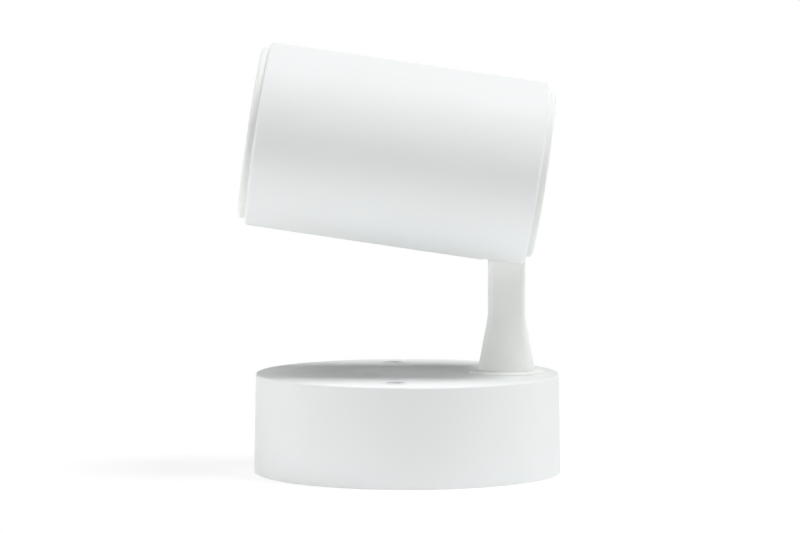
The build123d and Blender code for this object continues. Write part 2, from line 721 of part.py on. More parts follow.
# The bezel plugs the tube's front, and its lip holds the glass from the front
with BuildPart() as front_bezel:
    with BuildSketch(head_section):
        with BuildLine():
            Polyline(
                (bezel_radius, reflector_front - bezel_tail),
                (bezel_radius, bezel_front),
                (bezel_radius - bezel_mouth_wall, bezel_front),
                (glass_seat_radius - bezel_lip, glass_front),
                (glass_seat_radius, glass_front),
                (glass_seat_radius, reflector_front - bezel_tail),
                close=True,
            )
        make_face()
    revolve(axis=head_axis)
    fillet(front_bezel.edges().group_by(head_axis)[-1].sort_by(SortBy.RADIUS)[-1], bezel_edge_radius)
    fillet(front_bezel.edges().group_by(head_axis)[-1].sort_by(SortBy.RADIUS)[0], bezel_edge_radius / 2)
front_bezel.part.label = "front_bezel"
export_step(front_bezel.part, "parts/front_bezel.step")

with BuildPart() as front_glass:
    with BuildSketch(head.offset(glass_back)):
        Circle(glass_radius)
    extrude(amount=glass_thickness)
    chamfer(front_glass.edges(), glass_thickness / 8)
front_glass.part.label = "front_glass"
export_step(front_glass.part, "parts/front_glass.step")

with BuildPart() as glass_gasket:
    add(ring(head.offset(reflector_front), glass_radius, glass_radius - gasket_width, gasket_thickness))
glass_gasket.part.label = "glass_gasket"
export_step(glass_gasket.part, "parts/glass_gasket.step")

# A spun reflector: its wall bulges out between the throat and the mouth, and its rim lies under the gasket
throat_radius = reflector_throat_diameter / 2
mouth_radius = glass_radius - gasket_width
reflector_rim = reflector_front - reflector_thickness
bulge_radius = (throat_radius + mouth_radius) / 2 + reflector_bulge
bulge_s = (holder_front + reflector_front) / 2 - reflector_bulge / 2
with BuildPart() as reflector:
    with BuildSketch(head_section):
        with BuildLine():
            ThreePointArc(
                (throat_radius, holder_front),
                (bulge_radius, bulge_s),
                (mouth_radius, reflector_front),
            )
            Polyline(
                (mouth_radius, reflector_front),
                (glass_radius, reflector_front),
                (glass_radius, reflector_rim),
                (mouth_radius + reflector_thickness, reflector_rim),
            )
            ThreePointArc(
                (mouth_radius + reflector_thickness, reflector_rim),
                (bulge_radius + reflector_thickness, bulge_s),
                (throat_radius + reflector_thickness, holder_front),
            )
            Line((throat_radius + reflector_thickness, holder_front), (throat_radius, holder_front))
        make_face()
    revolve(axis=head_axis)
reflector.part.label = "reflector"
export_step(reflector.part, "parts/reflector.step")

with BuildPart() as led_board:
    with BuildSketch(head.offset(sink_front)):
        RectangleRounded(led_board_size, led_board_size, led_board_thickness / 2)
    extrude(amount=led_board_thickness)
led_board.part.label = "led_board"
export_step(led_board.part, "parts/led_board.step")

with BuildPart() as led_emitter:
    with BuildSketch(head.offset(sink_front + led_board_thickness)):
        Circle(led_emitter_diameter / 2)
    extrude(amount=led_emitter_height)
led_emitter.part.label = "led_emitter"
export_step(led_emitter.part, "parts/led_emitter.step")

lamp_lead_side = sink_radius - lamp_lead_diameter
lamp_lead_s = sink_front + lamp_lead_diameter / 2 + lead_hole_gap
holder_screw_places = [(0, -holder_screw_radius), (0, holder_screw_radius)]
with BuildPart() as led_holder:
    with BuildSketch(head.offset(sink_front)):
        Circle(holder_diameter / 2)
    extrude(amount=holder_height)
    fillet(led_holder.edges().group_by(head_axis)[-1], holder_height / 6)
    with BuildSketch(head.offset(sink_front)):
        Rectangle(led_board_size + 2 * slip_fit, led_board_size + 2 * slip_fit)
    extrude(amount=led_board_thickness + slip_fit, mode=Mode.SUBTRACT)
    with BuildSketch(head.offset(sink_front)):
        Circle(throat_radius - slip_fit)
        with Locations(*holder_screw_places):
            Circle(holder_screw_diameter / 2 + slip_fit)
    extrude(amount=holder_height, mode=Mode.SUBTRACT)
    lead_hole_start = head_point(lamp_lead_s, holder_diameter / 2, lamp_lead_up)
    with BuildSketch(Plane(origin=lead_hole_start, z_dir=(0, -1, 0))):
        Circle(lamp_lead_diameter / 2 + running_fit)
    extrude(amount=holder_lead_depth, mode=Mode.SUBTRACT)
led_holder.part.label = "led_holder"
export_step(led_holder.part, "parts/led_holder.step")

with BuildPart() as holder_screws:
    with Locations(head.offset(holder_front)):
        with Locations(*holder_screw_places):
            add(screw(holder_screw_diameter, holder_screw_head, holder_screw_length))
holder_screws.part.label = "holder_screws"
export_step(holder_screws.part, "parts/holder_screws.step")

# The heat sink: a disc pressed into the tube, fins behind it, a solid core that takes the bracket, and two
# posts that reach back to the rear cap
core_half = bracket_half + core_margin
core_bottom = bracket_bottom - core_margin
core_top = bracket_bottom + bracket_height + core_margin
rear_post_places = [(-rear_post_side, rear_post_up), (rear_post_side, rear_post_up)]
lead_way = lamp_lead_diameter + 2 * lead_hole_gap
side_fins = int((fin_radius - lead_way - core_half - fin_thickness / 2) / fin_pitch)
side_fin_xs = [core_half + (step + 1) * fin_pitch for step in range(side_fins)]
top_fins = int(core_half / fin_pitch)
with BuildPart() as heat_sink:
    with BuildSketch(head.offset(sink_back)):
        Circle(sink_radius)
    extrude(amount=heat_sink_disc)
    with BuildSketch(head.offset(fin_back)):
        with Locations(*[(side * x, 0) for x in side_fin_xs for side in (-1, 1)]):
            Rectangle(fin_thickness, 2 * fin_radius)
        for step in range(-top_fins, top_fins + 1):
            with Locations((step * fin_pitch, core_top + fin_radius / 2)):
                Rectangle(fin_thickness, fin_radius)
        with Locations((0, (core_bottom + core_top) / 2)):
            Rectangle(2 * core_half, core_top - core_bottom)
        Circle(fin_radius, mode=Mode.INTERSECT)
    extrude(amount=fin_length)
    with BuildSketch(head.offset(cap_inside)):
        with Locations(*rear_post_places):
            Circle(rear_post_diameter / 2)
    extrude(amount=sink_back - cap_inside)
    with BuildSketch(head.offset(cap_inside)):
        with Locations(*rear_post_places):
            Circle(rear_screw_diameter / 2 + screw_fit)
    extrude(amount=rear_screw_length + thread_run_out, mode=Mode.SUBTRACT)
    with BuildSketch(head.offset(fin_back)):
        with Locations(*[(0, up) for up in bracket_screw_ups]):
            Circle(bracket_screw_diameter / 2 + screw_fit)
    extrude(amount=bracket_screw_length + thread_run_out - bracket_thickness, mode=Mode.SUBTRACT)
    with BuildSketch(head.offset(sink_front)):
        with Locations(*holder_screw_places):
            Circle(holder_screw_diameter / 2 + screw_fit)
    extrude(amount=-heat_sink_disc, mode=Mode.SUBTRACT)
    with BuildSketch(head.offset(sink_back)):
        with Locations((-lamp_lead_side, lamp_lead_up)):
            Rectangle(3 * lamp_lead_diameter, lead_way)
    extrude(amount=heat_sink_disc, mode=Mode.SUBTRACT)
heat_sink.part.label = "heat_sink"
export_step(heat_sink.part, "parts/heat_sink.step")

# The rear cap steps in at the tube's end. Its notch carries on the tube's slot, up past the tilt axis, so
# that the arm can swing out behind.
notch_top = pivot_up + arm_width / 2 + arm_slot_gap
rear_sink_radius = rear_screw_head / 2 + slip_fit
vents_each_side = int((rear_post_side - rear_sink_radius - vent_web - vent_width / 2) / vent_pitch)
with BuildPart() as rear_cap:
    with BuildSketch(head.offset(cap_back)):
        Circle(rear_cap_radius)
    extrude(amount=cap_shoulder - cap_back)
    fillet(rear_cap.edges().group_by(head_axis)[0], rear_cap_edge_radius)
    with BuildSketch(head.offset(cap_shoulder)):
        Circle(tube_inner_radius - slip_fit)
    extrude(amount=rear_skirt_depth)
    with BuildSketch(head.offset(cap_inside)):
        Circle(rear_cap_bore)
    extrude(amount=rear_skirt_depth, mode=Mode.SUBTRACT)
    with BuildSketch(head.offset(cap_shoulder + rear_shoulder_thickness)):
        Circle(rear_skirt_bore)
    extrude(amount=rear_skirt_depth, mode=Mode.SUBTRACT)
    with BuildSketch(head.offset(cap_back)):
        for step in range(-vents_each_side, vents_each_side + 1):
            vent_x = step * vent_pitch
            vent_top = sqrt(vent_radius ** 2 - vent_x ** 2)
            with Locations((vent_x, (vent_top + vent_bottom) / 2)):
                SlotOverall(vent_top - vent_bottom, vent_width, rotation=90)
    extrude(amount=rear_cap_thickness, mode=Mode.SUBTRACT)
    with BuildSketch(head.offset(cap_back)):
        with Locations((0, notch_top - tube_radius)):
            RectangleRounded(2 * arm_slot_half, 2 * tube_radius, arm_corner_radius)
    extrude(amount=rear_cap_thickness + rear_skirt_depth + rear_cap_proud, mode=Mode.SUBTRACT)
    with Locations(*[facing_back(cap_back, x, y) for x, y in rear_post_places]):
        CounterSinkHole(rear_screw_diameter / 2 + slip_fit, rear_sink_radius, counter_sink_angle=90)
rear_cap.part.label = "rear_cap"
export_step(rear_cap.part, "parts/rear_cap.step")

with BuildPart() as rear_screws:
    with Locations(*[facing_back(cap_back, x, y) for x, y in rear_post_places]):
        add(screw(rear_screw_diameter, rear_screw_head, rear_screw_length, countersunk=True))
rear_screws.part.label = "rear_screws"
export_step(rear_screws.part, "parts/rear_screws.step")

# ================================================================ driver, hung from the canopy's roof

driver_plan = Plane(origin=(driver_x, driver_centre_y, 0))
inside_length = driver_length - 2 * driver_wall
inside_width = driver_width - 2 * driver_wall
inside_corner_radius = driver_corner_radius - driver_wall
with BuildPart() as driver_case:
    with BuildSketch(driver_plan.offset(driver_bottom)):
        RectangleRounded(driver_length, driver_width, driver_corner_radius)
    extrude(amount=lid_bottom - driver_bottom)
    with BuildSketch(driver_plan.offset(driver_bottom + driver_wall)):
        RectangleRounded(inside_length, inside_width, inside_corner_radius)
    extrude(amount=driver_height, mode=Mode.SUBTRACT)
    with BuildSketch(Plane.XY.offset(ear_z)):
        for ear_y, wall_y in zip(ear_ys, (driver_y_min, driver_y_max)):
            with Locations((driver_ear_x, (ear_y + wall_y) / 2)):
                Rectangle(driver_boss_diameter, abs(ear_y - wall_y))
        with Locations(*ear_places):
            Circle(driver_boss_diameter / 2)
            Circle(driver_screw_diameter / 2 + slip_fit, mode=Mode.SUBTRACT)
    extrude(amount=-driver_wall)
    with BuildSketch(Plane.XY.offset(driver_bottom)):
        with Locations(*[(x, mains_lead_y) for x in pole_xs[1:]]):
            Circle(mains_lead_diameter / 2 + slip_fit)
    extrude(amount=driver_wall, mode=Mode.SUBTRACT)
    with BuildSketch(Plane(origin=(driver_x_max, 0, lamp_lead_z), z_dir=(-1, 0, 0))):
        Circle(lamp_lead_diameter / 2 + slip_fit)
    extrude(amount=driver_wall, mode=Mode.SUBTRACT)
driver_case.part.label = "driver_case"
export_step(driver_case.part, "parts/driver_case.step")

# The lid lies on the tray's rim, and a lip below it fits inside
lip_length = inside_length - 2 * slip_fit
lip_width = inside_width - 2 * slip_fit
with BuildPart() as driver_lid:
    with BuildSketch(driver_plan.offset(lid_bottom)):
        RectangleRounded(driver_length, driver_width, driver_corner_radius)
    extrude(amount=driver_wall)
    with BuildSketch(driver_plan.offset(lid_bottom)):
        RectangleRounded(lip_length, lip_width, inside_corner_radius)
        Rectangle(lip_length - 2 * driver_wall, lip_width - 2 * driver_wall, mode=Mode.SUBTRACT)
    extrude(amount=-driver_wall)
driver_lid.part.label = "driver_lid"
export_step(driver_lid.part, "parts/driver_lid.step")

with BuildPart() as driver_screws:
    with Locations(*[Plane(origin=(x, y, ear_z - driver_wall), z_dir=(0, 0, -1)) for x, y in ear_places]):
        add(screw(driver_screw_diameter, driver_screw_head, driver_screw_length))
driver_screws.part.label = "driver_screws"
export_step(driver_screws.part, "parts/driver_screws.step")

board_length = inside_length - 2 * board_edge_gap
board_width = inside_width - 2 * board_edge_gap
with BuildPart() as driver_board:
    with BuildSketch(driver_plan.offset(board_bottom)):
        Rectangle(board_length, board_width)
    extrude(amount=board_thickness)
    with BuildSketch(driver_plan.offset(board_bottom)):
        with GridLocations(board_length - board_pad_diameter, board_width - board_pad_diameter, 2, 2):
            Circle(board_pad_diameter / 2)
    extrude(amount=-board_lift)
driver_board.part.label = "driver_board"
export_step(driver_board.part, "parts/driver_board.step")

with BuildPart() as driver_transformer:
    with BuildSketch(driver_plan.offset(board_top)):
        Rectangle(transformer_length, transformer_width)
    extrude(amount=transformer_height)
    chamfer(driver_transformer.edges().filter_by(Axis.Z), component_edge_radius)
    with BuildSketch(driver_plan.offset(board_top + (transformer_height - winding_height) / 2)):
        Rectangle(winding_length, transformer_width + 2 * winding_proud)
    extrude(amount=winding_height)
driver_transformer.part.label = "driver_transformer"
export_step(driver_transformer.part, "parts/driver_transformer.step")

large_capacitor_x = board_edge_gap + (large_capacitor_diameter - board_length) / 2
small_capacitor_x = (board_length - small_capacitor_diameter) / 2 - board_edge_gap
with BuildPart() as driver_capacitors:
    with BuildSketch(driver_plan.offset(board_top)):
        with Locations((large_capacitor_x, board_width / 4)):
            Circle(large_capacitor_diameter / 2)
    extrude(amount=large_capacitor_height)
    with BuildSketch(driver_plan.offset(board_top)):
        with Locations((small_capacitor_x, board_width / 4)):
            Circle(small_capacitor_diameter / 2)
    extrude(amount=small_capacitor_height)
    fillet(driver_capacitors.edges().filter_by(GeomType.CIRCLE), component_edge_radius)
driver_capacitors.part.label = "driver_capacitors"
export_step(driver_capacitors.part, "parts/driver_capacitors.step")

with BuildPart() as driver_choke:
    with BuildSketch(driver_plan.offset(board_top)):
        with Locations((board_edge_gap + (choke_diameter - board_length) / 2, -board_width / 4)):
            Circle(choke_diameter / 2)
            Circle(choke_bore / 2, mode=Mode.SUBTRACT)
    extrude(amount=choke_height)
    fillet(driver_choke.edges().filter_by(GeomType.CIRCLE), component_edge_radius)
driver_choke.part.label = "driver_choke"
export_step(driver_choke.part, "parts/driver_choke.step")

# ================================================================ terminals, on the mounting plate

terminal_top = plate_thickness + terminal_height
terminal_screw_top = terminal_top - terminal_screw_drop
terminal_screw_ys = (terminal_y - terminal_screw_row, terminal_y + terminal_screw_row)
terminal_screw_places = [(x, y) for x in pole_xs for y in terminal_screw_ys]
wire_section = Plane(origin=(0, terminal_y, wire_z), x_dir=(1, 0, 0), z_dir=(0, -1, 0))
with BuildPart() as terminal_block:
    with BuildSketch(Plane.XY.offset(plate_thickness)):
        with Locations((terminal_x, terminal_y)):
            Rectangle(terminal_length, terminal_width)
    extrude(amount=terminal_height)
    fillet(terminal_block.edges().filter_by(Axis.Z), terminal_edge_radius)
    fillet(terminal_block.edges().group_by(Axis.Z)[-1], terminal_edge_radius)
    with BuildSketch(wire_section):
        with Locations(*[(x, 0) for x in pole_xs]):
            Circle(terminal_wire_diameter / 2)
    extrude(amount=terminal_width, both=True, mode=Mode.SUBTRACT)
    with BuildSketch(Plane.XY.offset(wire_z)):
        with Locations(*terminal_screw_places):
            Circle(terminal_screw_diameter / 2 + slip_fit)
    extrude(amount=terminal_height, mode=Mode.SUBTRACT)
    with BuildSketch(Plane.XY.offset(plate_thickness)):
        with Locations(*fixing_places):
            Circle(fixing_screw_diameter / 2 + slip_fit)
    extrude(amount=terminal_height, mode=Mode.SUBTRACT)
terminal_block.part.label = "terminal_block"
export_step(terminal_block.part, "parts/terminal_block.step")

# Each screw clamps the lead that lies in the bore below it
with BuildPart() as terminal_screws:
    with BuildSketch(Plane.XY.offset(terminal_screw_top)):
        with Locations(*terminal_screw_places):
            Circle(terminal_screw_diameter / 2)
    extrude(amount=wire_z + mains_lead_diameter / 2 - terminal_screw_top)
    with BuildSketch(Plane.XY.offset(terminal_screw_top)):
        with Locations(*terminal_screw_places):
            Rectangle(terminal_screw_diameter, terminal_slot_width)
    extrude(amount=-terminal_slot_depth, mode=Mode.SUBTRACT)
terminal_screws.part.label = "terminal_screws"
export_step(terminal_screws.part, "parts/terminal_screws.step")

with BuildPart() as terminal_fixing_screws:
    with Locations(*[(x, y, terminal_top) for x, y in fixing_places]):
        add(screw(fixing_screw_diameter, fixing_screw_head, terminal_top))
terminal_fixing_screws.part.label = "terminal_fixing_screws"
export_step(terminal_fixing_screws.part, "parts/terminal_fixing_screws.step")

lug_top = plate_thickness + earth_lug_thickness
with BuildPart() as earth_lug:
    with BuildSketch(Plane.XY.offset(plate_thickness)):
        with Locations((earth_screw_x, earth_screw_y)):
            Circle(earth_lug_diameter / 2)
            Rectangle(earth_lug_diameter, earth_lug_tail, align=(Align.MIN, Align.CENTER))
            Circle(earth_screw_diameter / 2 + slip_fit, mode=Mode.SUBTRACT)
    extrude(amount=earth_lug_thickness)
earth_lug.part.label = "earth_lug"
export_step(earth_lug.part, "parts/earth_lug.step")

with BuildPart() as earth_screw:
    with Locations((earth_screw_x, earth_screw_y, lug_top)):
        add(screw(earth_screw_diameter, earth_screw_head, lug_top))
earth_screw.part.label = "earth_screw"
export_step(earth_screw.part, "parts/earth_screw.step")

# ================================================================ leads

# The live and the neutral lead run from the terminals under the driver and up through its floor
lead_end_y = terminal_y + terminal_width / 2 - terminal_grip
mains_bend = driver_bottom - wire_z - mains_lead_straight
for pole_x, lead_name in zip(pole_xs[1:], ("neutral_lead", "live_lead")):
    mains_route = [
        (pole_x, lead_end_y, wire_z),
        (pole_x, mains_lead_y, wire_z),
        (pole_x, mains_lead_y, board_bottom),
    ]
    with BuildPart() as mains_lead:
        add(lead(mains_route, [mains_bend], mains_lead_diameter))
    mains_lead.part.label = lead_name
    export_step(mains_lead.part, f"parts/{lead_name}.step")

earth_lead_z = lug_top + mains_lead_diameter / 2
with BuildPart() as earth_lead:
    earth_route = [
        (pole_xs[0], lead_end_y, wire_z),
        (pole_xs[0], earth_screw_y - 5.0, wire_z),
        (pole_xs[0] - 3.5, earth_screw_y, earth_lead_z),
        (earth_screw_x + earth_screw_head / 2 + slip_fit, earth_screw_y, earth_lead_z),
    ]
    add(lead(earth_route, [8.0, 4.0], mains_lead_diameter))
earth_lead.part.label = "earth_lead"
export_step(earth_lead.part, "parts/earth_lead.step")

# The lamp's two-core lead is in three lengths. They meet face to face on the swivel axis and on the tilt
# axis, where turning does not move them apart.
with BuildPart() as driver_lead:
    driver_route = [
        (swivel_x, 0, lamp_joint_z),
        (swivel_x, 0, lamp_lead_z),
        (driver_x_max - driver_wall - lamp_lead_reach, 0, lamp_lead_z),
    ]
    add(lead(driver_route, [lamp_lead_bend], lamp_lead_diameter))
driver_lead.part.label = "driver_lead"
export_step(driver_lead.part, "parts/driver_lead.step")

with BuildPart() as arm_lead:
    arm_route = [
        (swivel_x, 0, lamp_joint_z),
        (swivel_x, 0, swivel_tube_top + lead_jog_start),
        (swivel_x, -lead_offset, swivel_tube_top + lead_jog_start + lead_jog_length),
        (swivel_x, -lead_offset, pivot_z),
        (swivel_x, lead_joint_y, pivot_z),
    ]
    add(lead(arm_route, [lead_jog_bend, lead_jog_bend, pivot_lead_bend], lamp_lead_diameter))
arm_lead.part.label = "arm_lead"
export_step(arm_lead.part, "parts/arm_lead.step")

with BuildPart() as head_lead:
    head_route = [
        head_point(pivot_s, lead_joint_y, pivot_up),
        head_point(pivot_s, lead_joint_y + 4.4, pivot_up),
        head_point(pivot_s + 10.7, lamp_lead_side - 2.8, pivot_up + 9.0),
        head_point(fin_back, lamp_lead_side - 0.3, lamp_lead_up),
        head_point(lamp_lead_s, lamp_lead_side, lamp_lead_up),
        head_point(lamp_lead_s, (holder_diameter - lamp_lead_diameter) / 2, lamp_lead_up),
    ]
    add(lead(head_route, [4.0, 12.0, 12.0, pivot_lead_bend], lamp_lead_diameter))
head_lead.part.label = "head_lead"
export_step(head_lead.part, "parts/head_lead.step")
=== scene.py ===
import json
from math import cos, pi, radians, sin

import bmesh
import bpy
from mathutils import Matrix, Vector


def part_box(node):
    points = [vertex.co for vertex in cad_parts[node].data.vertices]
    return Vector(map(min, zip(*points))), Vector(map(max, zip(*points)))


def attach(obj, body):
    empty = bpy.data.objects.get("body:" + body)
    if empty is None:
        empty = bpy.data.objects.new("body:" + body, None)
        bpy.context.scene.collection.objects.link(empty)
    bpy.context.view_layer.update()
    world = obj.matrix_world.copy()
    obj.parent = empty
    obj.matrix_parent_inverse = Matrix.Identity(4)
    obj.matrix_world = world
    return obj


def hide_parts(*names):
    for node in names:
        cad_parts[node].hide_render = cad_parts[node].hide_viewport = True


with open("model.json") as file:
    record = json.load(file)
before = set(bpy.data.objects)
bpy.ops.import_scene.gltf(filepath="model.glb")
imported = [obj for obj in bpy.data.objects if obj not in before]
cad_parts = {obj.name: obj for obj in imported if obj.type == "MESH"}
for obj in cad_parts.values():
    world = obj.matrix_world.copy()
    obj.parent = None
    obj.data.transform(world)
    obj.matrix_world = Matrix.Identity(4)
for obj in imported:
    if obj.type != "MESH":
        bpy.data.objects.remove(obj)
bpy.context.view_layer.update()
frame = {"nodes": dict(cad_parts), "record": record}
nodes = frame["nodes"]

# A surface mounted spotlight, standing on its canopy as in the photograph. +Z is away from the ceiling, and
# all lengths but the camera's own are in metres.
scene = bpy.context.scene
scene.view_settings.view_transform = "Standard"

# ------------------------------------------------------------------ the head's own frame
rest_tilt = radians(8.4)
head_forward = Vector((-cos(rest_tilt), 0, sin(rest_tilt)))
head_up = Vector((sin(rest_tilt), 0, cos(rest_tilt)))
head_side = Vector((0, 1, 0))
glass_low, glass_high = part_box("front_glass")
glass_centre = (glass_low + glass_high) / 2
glass_thickness = 0.002


def head_matrix(forward_of_glass):
    """A frame on the lamp's axis, that far from the glass's middle: Z is forward, X to the side and Y up."""
    axes = Matrix((head_side * -1, head_up, head_forward)).transposed().to_4x4()
    axes.translation = glass_centre + head_forward * forward_of_glass
    return axes


# ------------------------------------------------------------------ camera
camera_place = Vector((-0.004679, -1.089137, 0.136058))
camera_pitch = radians(-3.644)
camera_yaw = radians(-0.119)
camera_roll = radians(0.028)
camera_lens = 150.76                 # millimetres, as the sensor's width
camera_sensor_width = 36


def make_camera():
    """Puts the camera where the photograph was taken from, as fitted to the object's outlines."""
    data = bpy.data.cameras.new("camera")
    data.lens = camera_lens
    data.sensor_width = camera_sensor_width
    data.sensor_fit = "HORIZONTAL"
    camera = bpy.data.objects.new("camera", data)
    turn = Matrix.Rotation(camera_yaw, 4, "Z") @ Matrix.Rotation(pi / 2 + camera_pitch, 4, "X")
    camera.matrix_world = Matrix.Translation(camera_place) @ turn @ Matrix.Rotation(camera_roll, 4, "Z")
    scene.collection.objects.link(camera)
    scene.camera = camera


make_camera()


# ------------------------------------------------------------------ node materials
# The Mix node's sockets for every kind of value have the same names, so those for colours go by number.
mix_share = 0
mix_under = 6
mix_over = 7
mix_result = 2

corner_samples = 4                   # rays for each look at an edge or a corner
edge_cosine = 0.80                   # of the angle between the rounded and the true face, at an edge
flat_cosine = 0.98                   # and from which on the face counts as flat
corner_openness = 0.2                # the share of rays that get away, deep in a corner
open_openness = 0.9                  # and from which on the place counts as open


class Surface:
    """A material with one principled shader, whose colour, roughness and bump come from nodes."""

    def __init__(self, name, color, roughness, metallic=0.0, **constants):
        self.material = bpy.data.materials.new(name)
        self.material.use_nodes = True
        self.tree = self.material.node_tree
        self.shader = self.tree.nodes["Principled BSDF"]
        self.place = self.node("ShaderNodeTexCoord").outputs["Object"]
        self.set(self.shader, "Base Color", (*color, 1))
        self.set(self.shader, "Roughness", roughness)
        self.set(self.shader, "Metallic", metallic)
        for socket, value in constants.items():
            self.set(self.shader, socket.replace("_", " "), value)
        self.color = (*color, 1)
        self.normal = None

    def node(self, kind, **settings):
        made = self.tree.nodes.new(kind)
        for name, value in settings.items():
            setattr(made, name, value)
        return made

    def set(self, node, socket, value):
        """Gives an input a number, a colour or another node's output."""
        if isinstance(value, bpy.types.NodeSocket):
            self.tree.links.new(value, node.inputs[socket])
        else:
            node.inputs[socket].default_value = value

    def noise(self, scale, detail=3.0, place=None, distortion=0.0):
        """Noise from 0 to 1, with that many waves to a metre."""
        made = self.node("ShaderNodeTexNoise")
        self.set(made, "Vector", place or self.place)
        self.set(made, "Scale", scale)
        self.set(made, "Detail", detail)
        self.set(made, "Distortion", distortion)
        return made.outputs["Fac"]

    def stretched(self, scale, angle=0.0):
        """The object's own coordinates, multiplied by those factors and then turned about Y."""
        made = self.node("ShaderNodeMapping", vector_type="POINT")
        self.set(made, "Vector", self.place)
        self.set(made, "Rotation", (0, angle, 0))
        self.set(made, "Scale", scale)
        return made.outputs["Vector"]

    def product(self, first, second):
        made = self.node("ShaderNodeMath", operation="MULTIPLY")
        self.set(made, 0, first)
        self.set(made, 1, second)
        return made.outputs[0]

    def ranged(self, value, low, high, start=0.3, end=0.7):
        """Takes a value that runs from start to end into the range from low to high."""
        made = self.node("ShaderNodeMapRange")
        self.set(made, "Value", value)
        self.set(made, "From Min", start)
        self.set(made, "From Max", end)
        self.set(made, "To Min", low)
        self.set(made, "To Max", high)
        return made.outputs["Result"]

    def tint(self, color, mask):
        """Lays another colour over what is there, as far as the mask goes from 0 to 1."""
        made = self.node("ShaderNodeMix", data_type="RGBA")
        self.set(made, mix_share, mask)
        self.set(made, mix_under, self.color)
        self.set(made, mix_over, (*color, 1))
        self.color = made.outputs[mix_result]
        self.set(self.shader, "Base Color", self.color)

    def roughen(self, value, low, high):
        self.set(self.shader, "Roughness", self.ranged(value, low, high))

    def bump(self, height, depth):
        """Raises the surface by up to depth metres where the height is 1."""
        made = self.node("ShaderNodeBump")
        self.set(made, "Height", height)
        self.set(made, "Distance", depth)
        self.set(made, "Strength", 1.0)
        if self.normal is not None:
            self.set(made, "Normal", self.normal)
        self.normal = made.outputs["Normal"]
        self.set(self.shader, "Normal", self.normal)

    def soften_edges(self, radius):
        """Shades sharp edges as if they were rounded, and returns a mask of those edges."""
        made = self.node("ShaderNodeBevel", samples=corner_samples)
        self.set(made, "Radius", radius)
        self.normal = made.outputs["Normal"]
        self.set(self.shader, "Normal", self.normal)
        flat = self.node("ShaderNodeNewGeometry").outputs["Normal"]
        alike = self.node("ShaderNodeVectorMath", operation="DOT_PRODUCT")
        self.set(alike, 0, self.normal)
        self.set(alike, 1, flat)
        return self.ranged(alike.outputs["Value"], 1.0, 0.0, start=edge_cosine, end=flat_cosine)

    def corner_shade(self, reach):
        """A mask that is 1 deep in corners and 0 in the open, for painting shade there."""
        made = self.node("ShaderNodeAmbientOcclusion", samples=corner_samples, only_local=False)
        self.set(made, "Distance", reach)
        return self.ranged(made.outputs["AO"], 1.0, 0.0, start=corner_openness, end=open_openness)


def white_coat(name, blue):
    """Satin powder coat: fine orange peel, faint clouds, painted edge highlights, painted shade in corners.
    """
    coat = Surface(name, (0.868, 0.888, blue), 0.56, Specular_IOR_Level=0.15)
    edges = coat.soften_edges(0.00025)
    clouds = coat.noise(38, detail=4)
    coat.tint((0.856, 0.876, blue - 0.015), coat.ranged(clouds, 0.0, 0.8))
    # painted highlight: the coat is lighter and bluer along its sharp edges
    coat.tint((0.905, 0.918, blue + 0.029), coat.product(edges, 0.5))
    # painted shade: the coat turns greyer deep in corners
    coat.tint((0.70, 0.70, 0.68), coat.product(coat.corner_shade(0.0012), 0.12))
    coat.roughen(coat.noise(120, detail=5), 0.50, 0.62)
    coat.bump(coat.noise(900, detail=2), 0.000010)
    coat.bump(coat.noise(5200, detail=2), 0.0000025)
    return coat.material


def zinc_steel():
    """Zinc plated steel: faintly bluish and straw coloured, with fine scratches and bright edges."""
    steel = Surface("zinc_steel", (0.53, 0.54, 0.555), 0.34, 1.0)
    edges = steel.soften_edges(0.00012)
    steel.tint((0.48, 0.51, 0.57), steel.ranged(steel.noise(160, detail=3), 0.0, 0.7))
    steel.tint((0.58, 0.55, 0.46), steel.ranged(steel.noise(90, detail=2), 0.0, 0.4, 0.45, 0.8))
    steel.tint((0.70, 0.71, 0.72), edges)
    scratches = steel.noise(900, detail=4, place=steel.stretched((1, 9, 1), radians(20)))
    steel.roughen(scratches, 0.24, 0.46)
    steel.bump(scratches, 0.000006)
    return steel.material


def bare_aluminium():
    """Extruded aluminium, with die lines that run nearly along the lamp's axis."""
    metal = Surface("bare_aluminium", (0.74, 0.745, 0.755), 0.42, 1.0)
    edges = metal.soften_edges(0.00015)
    lines = metal.noise(2200, detail=3, place=metal.stretched((0.03, 1, 1), rest_tilt))
    metal.tint((0.64, 0.645, 0.66), metal.ranged(lines, 0.0, 0.8))
    metal.tint((0.86, 0.865, 0.87), edges)
    metal.roughen(metal.noise(300, detail=4), 0.34, 0.54)
    metal.bump(lines, 0.000008)
    return metal.material


def bright_aluminium():
    """The reflector's vapour-coated metal, nearly a mirror, with a faint haze."""
    mirror = Surface("bright_aluminium", (0.82, 0.825, 0.835), 0.10, 1.0)
    haze = mirror.noise(240, detail=4)
    mirror.tint((0.77, 0.775, 0.79), mirror.ranged(haze, 0.0, 1.0))
    mirror.roughen(haze, 0.07, 0.16)
    mirror.bump(mirror.noise(1500, detail=2), 0.0000012)
    return mirror.material


def brass():
    """Machined brass, a little dulled, with turning marks."""
    metal = Surface("brass", (0.80, 0.62, 0.30), 0.34, 1.0)
    edges = metal.soften_edges(0.0001)
    metal.tint((0.62, 0.45, 0.22), metal.ranged(metal.noise(420, detail=4), 0.0, 0.6))
    metal.tint((0.90, 0.76, 0.45), edges)
    marks = metal.noise(2600, detail=2, place=metal.stretched((1, 1, 5)))
    metal.roughen(marks, 0.26, 0.44)
    metal.bump(marks, 0.000004)
    return metal.material


